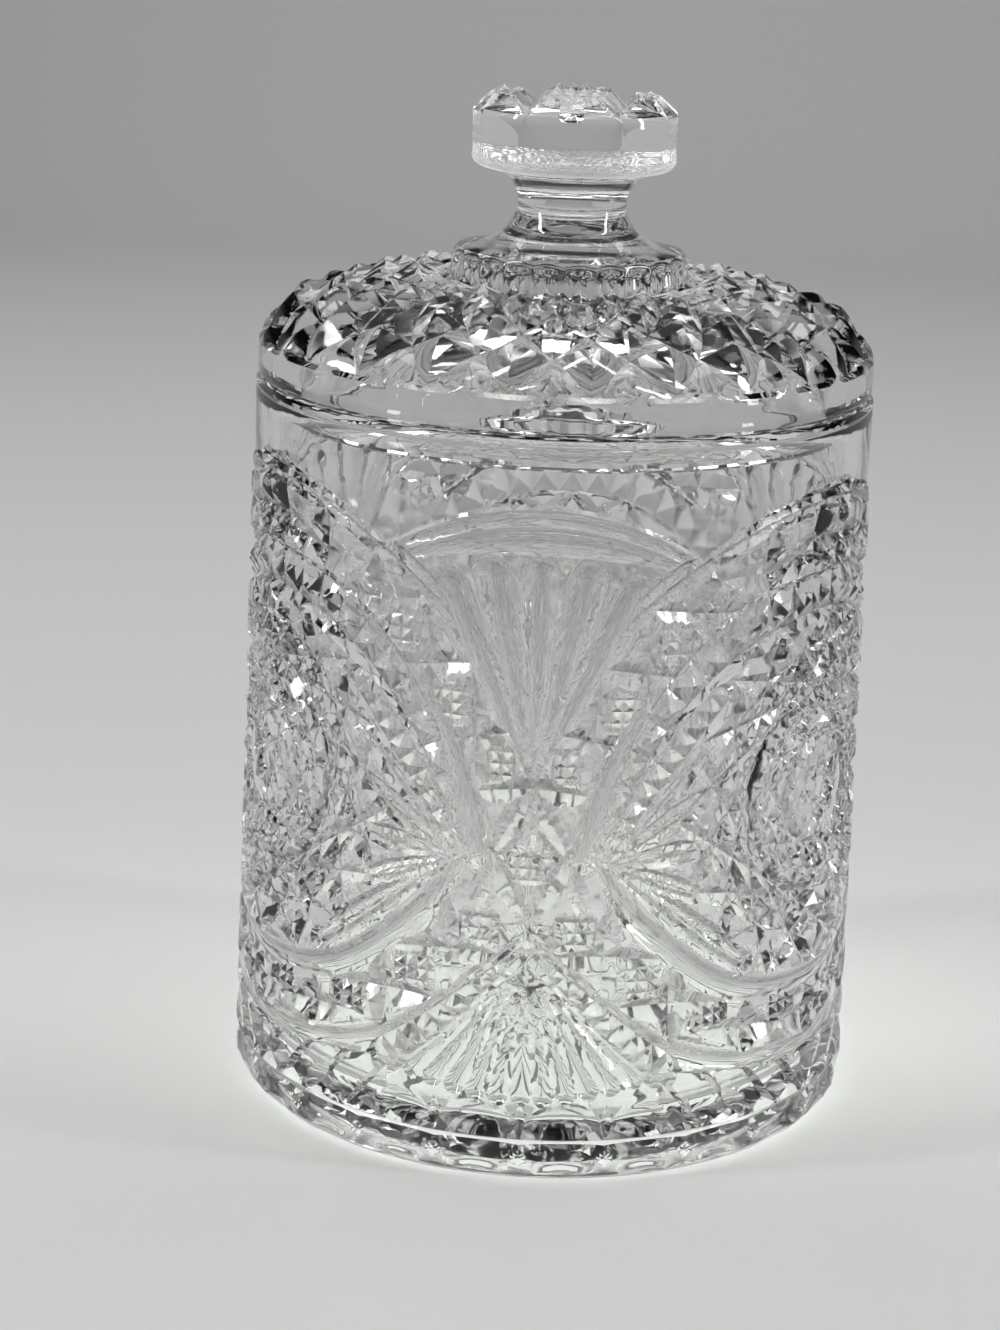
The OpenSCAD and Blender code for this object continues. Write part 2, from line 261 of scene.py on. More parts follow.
def relief(field, edges, radius, half, columns, folds):
    """A cut surface all round, from a field over half a sector: columns of angle, row, value and split.

    A row of points lies between each two edges, radius(row) is how far it is from the axis, and folds is
    how many sectors there are.
    """
    v = (edges[1:] + edges[:-1]) / 2
    du = half / columns
    u = np.arange(columns + 1) * du
    scale = math.radians(1) * np.broadcast_to(radius(v), v.shape)
    x, y = snapped(field, u, v, du, np.diff(edges), scale)
    x[0], x[-1] = 0, half
    h = field(x, y)
    return mirrored_round(x, y, h, splits(field, x, y, h), half, folds)


# ---------------------------------------------------------------- the wall's cut pattern
# Spots are (degrees from the fan's axis, height). A panel is mirrored at 0 and at 60 degrees: the fan's axis
# and the medallion's.
PANELS = 3
PANEL = 180 / PANELS  # degrees to half a panel
WALL_R = 71.0
WALL_MM = math.radians(1) * WALL_R  # millimetres per degree
FINE = 0.02
BANK = 1.3  # how wide the slope is that closes a row of blocks


def curve(spots):
    """A smooth line through spots, as points in millimetres."""
    steps = 5
    p = np.array(spots, float) * [WALL_MM, 1]
    p = np.vstack([2 * p[0] - p[1], p, 2 * p[-1] - p[-2]])
    out = []
    for a, b, c, d in zip(p, p[1:], p[2:], p[3:]):
        slope, bend, twist = c - a, 2 * a - 5 * b + 4 * c - d, 3 * b - a - 3 * c + d
        for t in np.arange(steps) / steps:
            out.append(0.5 * (2 * b + slope * t + bend * t**2 + twist * t**3))
    return np.array(out + [p[-2]])


def measured(x, y, line):
    """Distance from a line, share of the way along it, and its length."""
    step = np.diff(line, axis=0)
    length = np.hypot(*step.T)
    start = np.concatenate([[0], np.cumsum(length)])
    best = np.full(x.shape, np.inf)
    way = np.zeros(x.shape)
    for (px, py), (dx, dy), size, before in zip(line, step, length, start):
        t = np.clip(((x - px) * dx + (y - py) * dy) / size**2, 0, 1)
        away = np.hypot(x - px - t * dx, y - py - t * dy)
        nearer = away < best
        best = np.where(nearer, away, best)
        way = np.where(nearer, before + t * size, way)
    return best, way / start[-1], start[-1]


CUTS = []


def flute(t):
    """A round flute's depth at t half widths from its middle. Its lips are soft."""
    lip, end, steep = 0.8, 1.25, 1.78
    return np.where(t < lip, 1 - t**2, steep * np.maximum(end - t, 0) ** 2)


def cut(spots, widths, depth, kind="round", pitch=0.0):
    """A cut along a smooth line. widths are half widths at even shares of the way, and depth goes with them.

    round is a flute, vee a mitre, double two flutes with a ridge between them, and blocks a row of pyramids,
    one to each pitch.
    """
    line = curve(spots) if len(spots) > 2 else np.array(spots, float) * [WALL_MM, 1]
    widths = np.asarray(widths, float)
    most = widths.max()
    shares = np.linspace(0, 1, len(widths))
    low, high = line.min(0) - most - 1, line.max(0) + most + 1

    def at(x, y):
        d, way, size = measured(x, y, line)
        w = np.maximum(np.interp(way, shares, widths), FINE)
        t = d / w
        deep = depth * w / most
        if kind == "round":
            return deep * flute(t)
        if kind == "vee":
            return deep * (1 - t)
        if kind == "double":
            return deep * flute(abs(2 * t - 1))
        tick = way * size / pitch
        saw = abs(2 * (tick % 1) - 1)
        deep = depth * np.minimum(w / most * 1.6, 1)
        return deep * np.where(t < 1, np.maximum(saw, t), 1 - (d - w) / BANK)

    CUTS.append((low - BANK, high + BANK, at))


def arc_line(top, drop):
    """The height of a flat arch over the fan at x."""
    return lambda x: top - drop * x**2


def crescent(upper, lower, end_x, depth):
    """A concave band between two arches."""

    def at(x, y):
        a, b = upper(x), lower(x)
        wide = np.maximum(a - b, 0.05)
        t = (y - b) / wide
        deep = np.minimum(depth, 0.22 * wide)
        return np.where(x < end_x, 4 * deep * t * (1 - t), -1)

    CUTS.append((np.array([-5.0, lower(end_x) - 3]), np.array([end_x + 1, upper(0) + 1]), at))


def hatch(spot, half_x, half_y, pitch, depth):
    """A block of small points, cut both ways."""
    cx, cy = spot[0] * WALL_MM, spot[1]

    def at(x, y):
        p, q = x - cx, y - cy
        past = np.maximum(abs(p) - half_x, abs(q) - half_y)
        saw_p = abs(2 * ((p / pitch) % 1) - 1)
        saw_q = abs(2 * ((q / pitch) % 1) - 1)
        return depth * np.where(past < 0, np.maximum(saw_p, saw_q), 1 - past / 0.6)

    reach = half_x + half_y
    CUTS.append((np.array([cx - reach, cy - reach]), np.array([cx + reach, cy + reach]), at))


def louvres(ends, heights, pitch, depth):
    """A band of slanted panels like a row of louvres: each one leans in from a sharp edge.

    The band runs on past its right end, and its top falls towards that end.
    """
    left, right = (a * WALL_MM for a in ends)
    low, high = heights
    slant, fall, run_on, rise = 0.8, 0.12, 9, 6
    long_side = 0.86  # share of the pitch, and the rest is the short steep side

    def at(x, y):
        lean = (x + (y - low) * slant) / pitch % 1
        across = np.minimum(x - left, right + run_on - x)
        room = np.minimum(across, np.minimum(y - low, high - y + fall * (right - x)))
        return np.minimum(depth * np.minimum(lean / long_side, (1 - lean) / (1 - long_side)), 1.2 * room)

    CUTS.append((np.array([left, low]), np.array([right + run_on, high + rise]), at))


def star(spot, rings, over, under):
    """A star of chords about a spot, between two lines.

    Each ring is its reach, how many points it has, how many points a chord steps on, and the chord's half
    width and depth.
    """
    cx, cy = spot[0] * WALL_MM, spot[1]
    widest = max(r[0] for r in rings) + 1
    blunt, least, run_on, flank = 1.15, 0.05, 1.03, 0.9

    def at(x, y):
        dx, dy = x - cx, y - cy
        deep = np.full(x.shape, -1.0)
        for reach, count, skip, wide, depth in rings:
            hub = reach * math.cos(math.pi * skip / count)
            half = reach * math.sin(math.pi * skip / count)
            for i in range(count):
                t = 2 * math.pi * (i + 0.5) / count
                away = abs(dx * math.cos(t) + dy * math.sin(t) - hub)
                way = abs(dy * math.cos(t) - dx * math.sin(t)) / half
                w = wide * np.clip(blunt - way**4, least, 1)
                deep = np.maximum(deep, np.where(way < run_on, depth * w / wide * (1 - away / w), -1))
        room = np.minimum(np.interp(x, *over.T) - y, y - np.interp(x, *under.T))
        return np.minimum(deep, flank * room)

    CUTS.append((np.array([cx - widest, cy - widest]), np.array([cx + widest, cy + widest]), at))


def depth_at(x, y):
    """How deep the wall is cut at x, y in millimetres."""
    deep = np.zeros(x.shape)
    for low, high, at in CUTS:
        m = (x > low[0]) & (x < high[0]) & (y > low[1]) & (y < high[1])
        if m.any():
            deep[m] = np.maximum(deep[m], at(x[m], y[m]))
    return deep


# Arches over the fan, and the long double line that runs from the fan's foot over the medallion
ARCH_A, ARCH_B, ARCH_C = arc_line(152.3, 0.0097), arc_line(148.6, 0.0086), arc_line(142.6, 0.0040)
crescent(ARCH_A, ARCH_B, 34.5, 1.4)
crescent(ARCH_B, ARCH_C, 33.0, 1.9)
LONG = [(0, 92), (2.2, 99), (4.7, 108), (8.6, 118.5), (15.5, 129), (24.7, 138), (30.5, 142), (38.5, 146.4),
        (49, 149.6), (60, 150.6)]
cut(LONG, [0.6, 2.1, 2.6, 2.7, 2.7, 2.7, 2.7], 1.6, "double")

# The upper fan
for head, top in ((0, 138.4), (8.2, 137.6), (16.2, 134.6)):
    cut([(0, 92), (head, top)], [0.1, 1.6, 2.6, 3.3, 3.3], 2.4)

# Mitre cuts with blocks of points between them, beside the fan
for node, arms in {
    (30, 129): ((30, 139), (30.6, 122), (18.5, 131), (41, 128.5)),
    (19.7, 116.3): ((20, 131), (19, 102), (9.5, 118.5), (29, 115)),
    (10.5, 101.5): ((11, 119), (10.3, 87), (2.5, 104), (18.5, 100)),
    (0, 91): ((10.4, 90), (6.9, 76), (0, 77)),
}.items():
    for end in arms:
        cut([node, end], [3.6, 3.4, 2.3, 0.3], 2.3, "vee")
hatch((25, 123.5), 4.2, 4.2, 2.8, 1.3)
hatch((15, 108.7), 3.8, 4.2, 2.6, 1.3)
hatch((5.6, 96.4), 2.6, 3.9, 2.6, 1.3)

# Bigger cuts over the medallion's band
for node, arms in {
    (43.3, 136): ((43, 148.5), (44, 130.5), (32.5, 136.5), (54.5, 140)),
    (56.4, 141): ((56.4, 150.5), (56.4, 132), (46, 139.5), (66, 141)),
}.items():
    for end in arms:
        cut([node, end], [3.8, 3.6, 2.4, 0.4], 2.4, "vee")
# The wide smooth flute outside the medallion's tip
cut([(9.1, 75.5), (11, 85), (13.3, 95), (17, 105), (22.4, 114), (28.4, 121), (37, 128)],
    [2.6, 3.3, 3.0, 2.3, 1.5, 0.9, 0.4], 2.2)
# The medallion: a band of pyramids between two lines, and the smooth flute under it
cut([(12.2, 78), (15.8, 90), (19.8, 101.5), (26.3, 112.5), (33, 119.8), (41, 125), (50, 128), (60, 129)],
    [0.8, 1.9, 2.9, 3.7, 4.1, 4.2, 4.2], 2.2, "blocks", pitch=7.4)
cut([(11, 75), (16.5, 100), (22.5, 113), (27.5, 120), (32.5, 126), (40.5, 131), (49.5, 133), (60, 133.6)],
    [0.8, 1.1, 1.3, 1.3], 1.9, "vee")
INNER = [(11.4, 75), (17, 90), (22.8, 104.5), (30.5, 113), (38.5, 118.6), (46.5, 122.4), (53, 124.2),
         (60, 124.8)]
cut(INNER, [0.8, 1.2, 1.5, 1.5], 1.9, "vee")
SMILE = [(11.5, 75), (16.5, 65), (22.5, 57), (32.5, 46.6), (42.5, 41), (52.5, 38.8), (60, 38.5)]
cut(SMILE, [0.9, 2.4, 3.0, 3.1, 3.1, 3.1], 1.8)

# Leaves that spread from the medallion's tip: one of small blocks, then fluted ones with a mitre along each
cut([(13.2, 76), (21, 92), (28, 103), (33.5, 110)], [0.6, 1.8, 2.6, 2.8, 2.4], 1.8, "blocks", pitch=4.6)
LEAVES = (((29.4, 98.5), 2.9), ((30, 88), 3.0), ((29.6, 77), 2.8), ((29.6, 66.5), 2.8), ((40.5, 48), 3.6))
for tip, w in LEAVES:
    line = [(13.0, 75), tip]
    cut(line, [0.3, 0.5 * w, 0.85 * w, w, 0.75 * w], 0.55 * w, "double")
    cut(line, [0.1, 0.12 * w, 0.3 * w, 0.4 * w, 0.1], 0.6 * w, "vee")

# The star medallion: rings of chords, and small rosettes where the inner ones cross
INSIDE = curve(INNER), curve(SMILE) + [0, 3]
HUB = (60, 83.5)
RINGS = ((43, 16, 5, 3.0, 2.3), (39, 16, 3, 1.8, 1.4), (22.5, 16, 5, 1.7, 1.5), (22.5, 16, 3, 1.2, 1.1),
         (8.5, 8, 3, 1.3, 1.2))
ROSETTE = ((3.3, 8, 4, 0.7, 0.9),)
ROSETTES_OUT = 13.2
star(HUB, RINGS, *INSIDE)
for t in np.radians(np.arange(8) * 45 + 22.5):
    spot = HUB[0] + ROSETTES_OUT * math.sin(t) / WALL_MM, HUB[1] + ROSETTES_OUT * math.cos(t)
    star(spot, ROSETTE, *INSIDE)

# The middle: a small block over a little star
hatch((0, 73.2), 4.2, 2.6, 2.6, 1.2)
cut([(6.8, 77), (0, 61)], [1.4, 3.0, 0.5], 2.0, "vee")
cut([(7.2, 76), (9.6, 61)], [0.5, 2.4, 0.4], 1.8, "vee")
cut([(0, 84), (3.5, 77), (6.9, 76)], [0.3, 2.2, 0.6], 1.5, "vee")
SMALL_STAR, RAY = 60.6, 5.2
for t in np.radians(np.arange(16) * 22.5):
    tip = RAY * math.sin(t) / WALL_MM, SMALL_STAR + RAY * math.cos(t)
    cut([(0, SMALL_STAR), tip], [0.9, 0.7, 0.1], 0.9, "vee")

# The lower half: a long line, cuts and blocks under the smooth flute, and the fan that opens downwards
LOW = [(0, 58), (8.6, 48.5), (17, 38.4), (24.5, 31), (33, 26.6), (42, 24.2), (60, 22.4)]
cut(LOW, [0.6, 2.0, 2.6, 2.6, 2.6], 1.5)
for node, arms in {
    (13.5, 53): ((14.2, 66), (13.6, 42), (5, 53.5), (25, 52)),
    (26, 41): ((26.5, 53), (26.2, 31), (15.5, 41.5), (38, 40)),
    (42, 32): ((42, 40), (42, 25), (31, 34), (51, 31)),
    (60, 30): ((60, 38), (60, 23), (50, 30)),
}.items():
    for end in arms:
        cut([node, end], [3.5, 3.3, 2.2, 0.3], 2.2, "vee")
hatch((8.3, 58.8), 4.0, 3.4, 2.6, 1.2)
hatch((19.6, 47.2), 4.2, 3.4, 2.7, 1.3)
hatch((33, 37.0), 4.2, 2.6, 2.7, 1.3)
hatch((51, 35.0), 4.4, 2.2, 2.7, 1.3)
cut([(1.2, 54), (9.5, 43.6), (17, 34.4), (25, 26.2)], [0.6, 1.8, 2.8, 3.4], 1.8, "blocks", pitch=4.4)
for head in ((0, 20.6), (3.9, 20.8), (7.8, 21.4), (11.7, 22.2), (15.6, 23.2), (19.6, 24.4)):
    cut([(0, 52), head], [0.1, 0.8, 1.4, 1.9, 2.1], 1.7)
for a in (-7.5, 7.5, 22.5, 37.5):
    cut([(a - 7.4, 14.6), (a, 15.2), (a + 7.4, 14.6)], [0.2, 2.4, 3.6, 4.0, 3.6, 2.4, 0.2], 1.6)
    cut([(a + 7.5, 18.8), (a + 7.5, 10.9)], [0.3, 1.6, 0.3], 1.2, "vee")
louvres((24, 60), (11.2, 20.6), 10.5, 1.9)


# ---------------------------------------------------------------- the jar
TAPER = 2.4  # how much narrower the wall is at the collar than at the foot
# The arch beside the fan, as spots of millimetres from the fan's axis and height
ARCH_FLANK = np.array([(35.2, 140.2), (42, 144.6), (52, 149), (64, 151.6), (74.4, 152.6)]).T
FACET = 15.0  # degrees to each facet of the foot ring
BURST_Z, BURST_TURNS, BURST_REACH, BURST_HALF = 6.2, (18, 50, 90, 130, 162), 4.2, 0.75
GROOVE_Z, GROOVE_R = 9.9, 72.2
RIM_TURN = JAR_H - 1.4  # where the rim starts to round over
LINE_Z, LINE_HALF, LINE_DEEP = JAR_H - 2.6, 0.8, 0.35
RAYS = 24


def plain_wall(z):
    """The wall's radius where nothing is cut."""
    return FOOT_R - TAPER * (z - FIELD_LO) / (COLLAR_FOOT - FIELD_LO)


def foot_radius(deg, z, groove):
    """The foot: a ring of hollow facets with a burst of small mitres at each cusp, over a bevel."""
    off = (deg + FACET / 2) % FACET - FACET / 2
    near = 1 - abs(off) / (FACET / 2)
    dx, dz = off * WALL_MM, z - BURST_Z
    hollow, half_high, bow = 1.3, 3.6, 0.09
    low = FOOT_FACE - hollow * (1 - near**2) * np.clip(1.15 - (dz / half_high) ** 2, 0, 1) - bow * dz**2
    for t in np.radians(BURST_TURNS):
        along = abs(dx * math.cos(t) + dz * math.sin(t))
        across = abs(dz * math.cos(t) - dx * math.sin(t))
        mitre = BURST_HALF * (1 - along / BURST_REACH) - across
        low = np.minimum(low, FOOT_FACE - np.maximum(mitre, 0) * 1.1)
    edge = 3.6 - 0.9 * (1 - near)
    bevel = STAND_R + 0.2 + (z + 0.2) * 0.86 - 0.5 * (1 - near)
    low = np.where(z < edge, np.minimum(low, bevel), low)
    return np.minimum(low, groove)


def wall_radius(deg, z):
    """The jar's outside, with its cuts."""
    deg = abs(deg)
    deg = np.where(deg > PANEL, 2 * PANEL - deg, deg)
    x = deg * WALL_MM
    wall = plain_wall(z)
    arch = np.where(x < ARCH_FLANK[0, 0], ARCH_A(x), np.interp(x, *ARCH_FLANK))
    cut_r = wall - np.where(z > FIELD_LO + 0.3, depth_at(x, z), 0)
    bank = np.clip((z - arch) / 0.9, 0, 1)
    r = np.where(bank > 0, wall * (1 - bank) + COLLAR_R * bank, cut_r)
    # the rim's rounding, and the fine line under it
    r = np.where(z > RIM_TURN, np.minimum(r, COLLAR_R - (z - RIM_TURN) * 0.9), r)
    r = r - LINE_DEEP * np.maximum(1 - abs(z - LINE_Z) / LINE_HALF, 0)
    groove = GROOVE_R + abs(z - GROOVE_Z) * 1.5
    over = np.where(z < FIELD_LO + 1, np.minimum(groove, r), r)
    return np.where(z < GROOVE_Z, foot_radius(deg, z, groove), over)


def under_z(deg, r):
    """The underside's hollow, with a star of rays."""
    ray, tip, deepest = 360 / RAYS, 58, 1.5
    near = abs((deg / ray) % 1 - 0.5) * 2
    away = (1 - near) * math.radians(ray / 2) * r
    half_wide = np.interp(r, [0, 14, 40, 56, tip], [0.8, 1.8, 3.6, 3.4, 0.2])
    deep = deepest * (1 - away / half_wide)
    return HOLLOW_H + np.maximum(np.where((r > 2) & (r < tip), deep, 0), 0)


def underside(s):
    """Adds the jar's underside from its middle out, and returns the outer ring of its stand."""
    stand_in = STAND_R - STAND_W
    base_r = stand_in - HOLLOW_H
    half_columns, stand_columns = 10, 240
    edges = np.linspace(base_r - 0.5, 3, 17)[::-1]
    deg, r, z, flips = relief(under_z, edges, lambda r: r, 180 / RAYS, half_columns, RAYS)
    rays = s.add(turned(deg, r, z))
    s.cap(rays[:, 0], HOLLOW_H, closes=False)
    s.grid(rays, flips)
    stand = ((base_r, HOLLOW_H), (stand_in - 0.4, 0.15), (stand_in, 0.0), (STAND_R - 0.3, 0.0))
    return s.turn(rays[:, -1], stand, stand_columns)


def outside(s, last):
    """Adds the jar's outside from the ring last, at its foot, up to the rim, and returns the rim's ring."""
    half_columns = 80
    band_foot, band_head = COLLAR_FOOT + 0.8, JAR_H - 3.6
    edges = np.concatenate([
        np.linspace(0.25, FIELD_LO, 13, endpoint=False),
        np.linspace(FIELD_LO, band_foot, 155, endpoint=False),
        np.linspace(band_foot, band_head, 4, endpoint=False),
        np.linspace(band_head, JAR_H - 0.1, 7)])
    deg, z, r, flips = relief(wall_radius, edges, lambda z: WALL_R, PANEL, half_columns, PANELS)
    in_field = (z > FIELD_LO) & (z < COLLAR_FOOT)
    # painted shade: the wall's colour darkens the deeper it is cut
    share = np.where(in_field, np.clip((plain_wall(z) - r) / FULL_SHADE_CUT, 0, 1), 0)
    wall = s.add(turned(deg, r, z), share)
    s.join(last, wall[:, 0])
    s.grid(wall, flips)
    return s.turn(wall[:, -1], [(COLLAR_R - 1.9, JAR_H)], len(deg))


def bore(s, last):
    """Adds the mouth, the bore and the floor, from the rim's ring inwards."""
    inner = [(BORE_R + 1.0, JAR_H), (BORE_R + 0.35, JAR_H - 0.35), (BORE_R, JAR_H - 1.2)]
    low_r, corner_z = BORE_R - DRAFT, FLOOR_Z + CORNER_R
    for z in np.linspace(JAR_H - 6, corner_z, 4):
        inner.append((low_r + DRAFT * (z - corner_z) / (JAR_H - corner_z), z))
    for a in np.radians(np.linspace(0, 90, 9)[1:]):
        inner.append((low_r - CORNER_R * (1 - math.cos(a)), corner_z - CORNER_R * math.sin(a)))
    inner += [(r, FLOOR_Z) for r in (46.0, 36.0, 24.0, 12.0, 4.0)]
    columns = 160
    s.cap(s.turn(last, inner, columns), FLOOR_Z, closes=True)


def jar_piece():
    s = Shell()
    bore(s, outside(s, underside(s)))
    return s.piece("jar_glass")


# ---------------------------------------------------------------- the lid
def shoulder(deg):
    """The spot on the dome's round shoulder that many degrees up from its side."""
    a = math.radians(deg)
    return LID_R - SHOULDER_R * (1 - math.cos(a)), SHOULDER_Z + SHOULDER_R * math.sin(a)


def dome_profile():
    """The dome's outline from its band up to the knob's collar: points, and their way along it."""
    p = [(LID_R, JAR_H + 1.2), (LID_R, SHOULDER_Z)]
    p += [shoulder(deg) for deg in np.linspace(0, TURN_END, 40)[1:]]
    foot, head = np.array(p[-1]), np.array([STEP_R + 1.3, DOME_TOP - 0.3])
    bow = 1.6 * np.array([0.18, 0.98])
    for t in np.linspace(0, 1, 30)[1:]:
        p.append(tuple(foot * (1 - t) + head * t + bow * 4 * t * (1 - t)))
    p = np.array(p)
    way = np.concatenate([[0], np.cumsum(np.hypot(*np.diff(p, axis=0).T))])
    return p, way


DOME, DOME_WAY = dome_profile()
DOME_N = np.gradient(DOME, DOME_WAY, axis=0)[:, ::-1] * [1, -1]
DOME_N /= np.linalg.norm(DOME_N, axis=1, keepdims=True)
POINTS = 24  # diamond points in a row
POINT_STEP = 360 / POINTS
HALF_COLUMNS, KNOB_COLUMNS = 10, 240  # columns of the mesh to half a diamond point, and round the knob
# Way along the outline of each row of nodes of the diamond points, and the cuts' depth there
NODE_WAY = np.array([6.6, 20.2, 31.5, 40.2, 48.4, DOME_WAY[-1] + 1.5])
NODE_DEEP = np.array([2.0, 3.9, 4.1, 4.0, 3.9, 3.6])


def dome_radius(way):
    return np.interp(way, DOME_WAY, DOME[:, 0])


def dome_relief(deg, way):
    """How far out of its outline the dome stands: 0 at its diamond points, and below 0 in the cuts."""
    deg = abs(deg)
    # the row number, which runs on before the first and past the last row at their own rows per millimetre
    before, past = 0.075, 0.12
    t = np.interp(way, NODE_WAY, np.arange(len(NODE_WAY)))
    t = t + np.maximum(way - NODE_WAY[-1], 0) * past + np.minimum(way - NODE_WAY[0], 0) * before
    a = deg / (POINT_STEP / 2)
    p = abs(((a + 1 + t) / 2) % 1 - 0.5) * 2
    q = abs(((a + 1 - t) / 2) % 1 - 0.5) * 2
    deep = np.interp(way, NODE_WAY, NODE_DEEP)
    blunt, run_in = 0.25, 1.2
    cutting = deep * np.maximum(p, q) - blunt
    # the cuts run in from nothing at the first nodes, and the band under them is plain
    reach = np.clip((NODE_WAY[0] + run_in - way) / run_in, 0, 1)
    return -np.maximum(cutting * (1 - reach), 0)


def collar_radius(deg, z):
    """The fluted collar at the foot of the neck."""
    deg = abs(deg)
    half_wide, deep, lean = 3.3, 0.7, 0.16
    r = STEP_R + 0.9 - lean * (z - DOME_TOP)
    away = np.radians(POINT_STEP / 2 - deg) * r
    hollow = deep * (1 - (away / half_wide) ** 2) * np.clip((STEP_TOP - 0.4 - z) / 2.5, 0, 1)
    rounding = 0.35 * np.maximum(z - STEP_TOP + 1.8, 0) ** 2
    return r - np.maximum(hollow, 0) - rounding


def crown_z(deg, r):
    """The cut crown of the knob: hobnails between four deep valleys, and a bevel round them."""
    a = np.radians(deg)
    x, y = r * np.sin(a), -r * np.cos(a)
    deep = np.zeros(np.shape(x))
    pitch, hobnail = 3.0, 1.35
    valley, valley_deep, valley_slope, bevel_slope = 10.1, 4.5, 1.05, 0.86
    for c in (x, y):
        saw = abs(2 * ((c / pitch) % 1) - 1)
        deep = np.maximum(deep, hobnail * saw)
        deep = np.maximum(deep, valley_deep - abs(abs(c) - valley) * valley_slope)
    top = CROWN_Z + CROWN_H - deep
    bevel = CROWN_Z + 0.5 + (KNOB_R - r) * bevel_slope
    # a small mitre across the bevel between each two valleys
    small = 1.9 - abs(abs(((deg / 90) % 1) - 0.5) * 2 - 1) * 12
    bevel = bevel - np.maximum(small, 0) * (r > 17)
    return np.maximum(np.minimum(top, bevel), CROWN_Z + 0.25)


def lid_inside(s):
    """Adds the hollow from its middle out, the flange and the seat, and returns the seat's last ring."""
    inner_r = FLANGE_R - FLANGE_T
    low_z = JAR_H - FLANGE_H
    hollow_z = DOME_TOP - LID_T
    inside = [(r, hollow_z - fall) for r, fall in ((6, 0.1), (14, 0.2), (26, 0.6), (36, 2.7), (44, 4.3))]
    inside += [(inner_r - 8, shoulder(TURN_END)[1] - 5.2), (inner_r - 4.5, SHOULDER_Z + 6.1),
               (inner_r - 2, SHOULDER_Z + 3.9), (inner_r - 0.6, SHOULDER_Z + 1.7), (inner_r, SHOULDER_Z - 1),
               (inner_r, JAR_H - 1), (inner_r, low_z + 0.6), (inner_r + 0.6, low_z),
               (FLANGE_R - 0.6, low_z), (FLANGE_R, low_z + 0.6), (FLANGE_R, JAR_H - 0.4),
               (FLANGE_R + 0.4, JAR_H)]
    columns = 160
    first = s.add(ring(*inside[0], columns))
    s.cap(first, hollow_z, closes=False)
    return s.turn(first, inside[1:], columns)


def dome(s, last):
    """Adds the rim, the band and the dome's diamond points, and returns the dome's top ring."""
    rim = ((LID_R - 1.6, JAR_H), (LID_R - 0.5, JAR_H + 0.35), (LID_R - 0.1, JAR_H + 1.0))
    last = s.turn(last, rim, 2 * HALF_COLUMNS * POINTS)
    edges = np.concatenate([np.linspace(0, 5.6, 4, endpoint=False), np.linspace(5.6, DOME_WAY[-1], 74)])
    deg, way, out, flips = relief(dome_relief, edges, dome_radius, POINT_STEP / 2, HALF_COLUMNS, POINTS)
    base = np.stack([np.interp(way, DOME_WAY, DOME[:, k]) for k in (0, 1)])
    normal = np.stack([np.interp(way, DOME_WAY, DOME_N[:, k]) for k in (0, 1)])
    normal /= np.hypot(*normal)
    # painted shade in the dome's cuts, darker the deeper they are, up to 0.6 of full
    skin = s.add(turned(deg, *(base + out * normal)), 0.6 * np.clip(-out / NODE_DEEP.max(), 0, 1))
    s.join(last, skin[:, 0])
    s.grid(skin, flips)
    return skin[:, -1]


def collar(s, last):
    """Adds the fluted collar, which starts below the dome's cuts, and returns its top ring."""
    edges = np.linspace(DOME_TOP - 3.4, STEP_TOP + 0.1, 15)
    deg, z, r, flips = relief(collar_radius, edges, lambda z: STEP_R, POINT_STEP / 2, HALF_COLUMNS, POINTS)
    skin = s.add(turned(deg, r, z))
    s.join(last, skin[:, 0])
    s.grid(skin, flips)
    return skin[:, -1]


def neck(s, last):
    """Adds the shoulder over the collar, the neck and the knob's disc, and returns the disc's top ring."""
    # radius, and height over the collar
    outline = [(23.6, 0.3), (21.5, 0.7), (19.4, 1.3), (17.6, 2.1), (15.9, 3.0), (14.6, 3.9), (13.9, 5.0),
               (13.3, 6.2), (12.7, 7.4), (12.3, 8.6), (12.2, 9.8), (12.3, 11.0), (12.7, 12.3), (13.3, 13.6),
               (14.2, 14.9), (15.5, 16.0), (17.4, 16.9), (19.4, 17.5), (21.2, 17.9), (22.2, 18.4),
               (22.8, 19.2), (KNOB_R, 20.4), (KNOB_R, 22.0), (KNOB_R, 26.0),
               (KNOB_R, CROWN_Z - 0.2 - STEP_TOP)]
    return s.turn(last, [(r, STEP_TOP + rise) for r, rise in outline], KNOB_COLUMNS)


def crown(s, last):
    """Adds the knob's cut crown, from the ring last inwards."""
    edges = np.linspace(KNOB_R - 0.02, 0.6, 34)
    v = (edges[1:] + edges[:-1]) / 2
    du = 360 / KNOB_COLUMNS
    u = np.arange(KNOB_COLUMNS) * du
    deg, r = snapped(crown_z, u, v, du, abs(np.diff(edges)), np.radians(1) * v)
    z = crown_z(deg, r)
    wrap = np.vstack([deg, deg[:1] + 360]), np.vstack([r, r[:1]]), np.vstack([z, z[:1]])
    skin = s.add(turned(deg, r, z))
    s.join(last, skin[:, 0])
    s.grid(skin, splits(crown_z, *wrap))
    s.cap(skin[:, -1], float(crown_z(0.0, 0.0)), closes=True)


def lid_piece():
    s = Shell()
    crown(s, neck(s, collar(s, dome(s, lid_inside(s)))))
    return s.piece("lid_glass")


# ---------------------------------------------------------------- materials, with lengths in metres
FADE = 0.002  # the height over which the pattern's duller polish fades in and out
PLAIN_ROUGH, DULL_ROUGH, FROST_ROUGH = 0.012, (0.03, 0.075), 0.5
BEVEL_FOOT, BEVEL_FADE = DISC_Z * MM, 0.0004
BEVEL_TOP = BEVEL_FOOT + 0.0032
BEVEL_RAGGED = 0.0016  # how far the stippled bevel's ends wander up and down


def node(tree, kind, **values):
    """A new node. Each value goes to its property of that name, or else to its input."""
    made = tree.nodes.new(kind)
    for key, value in values.items():
        if hasattr(made, key):
            setattr(made, key, value)
        else:
            made.inputs[key.replace("_", " ")].default_value = value
    return made


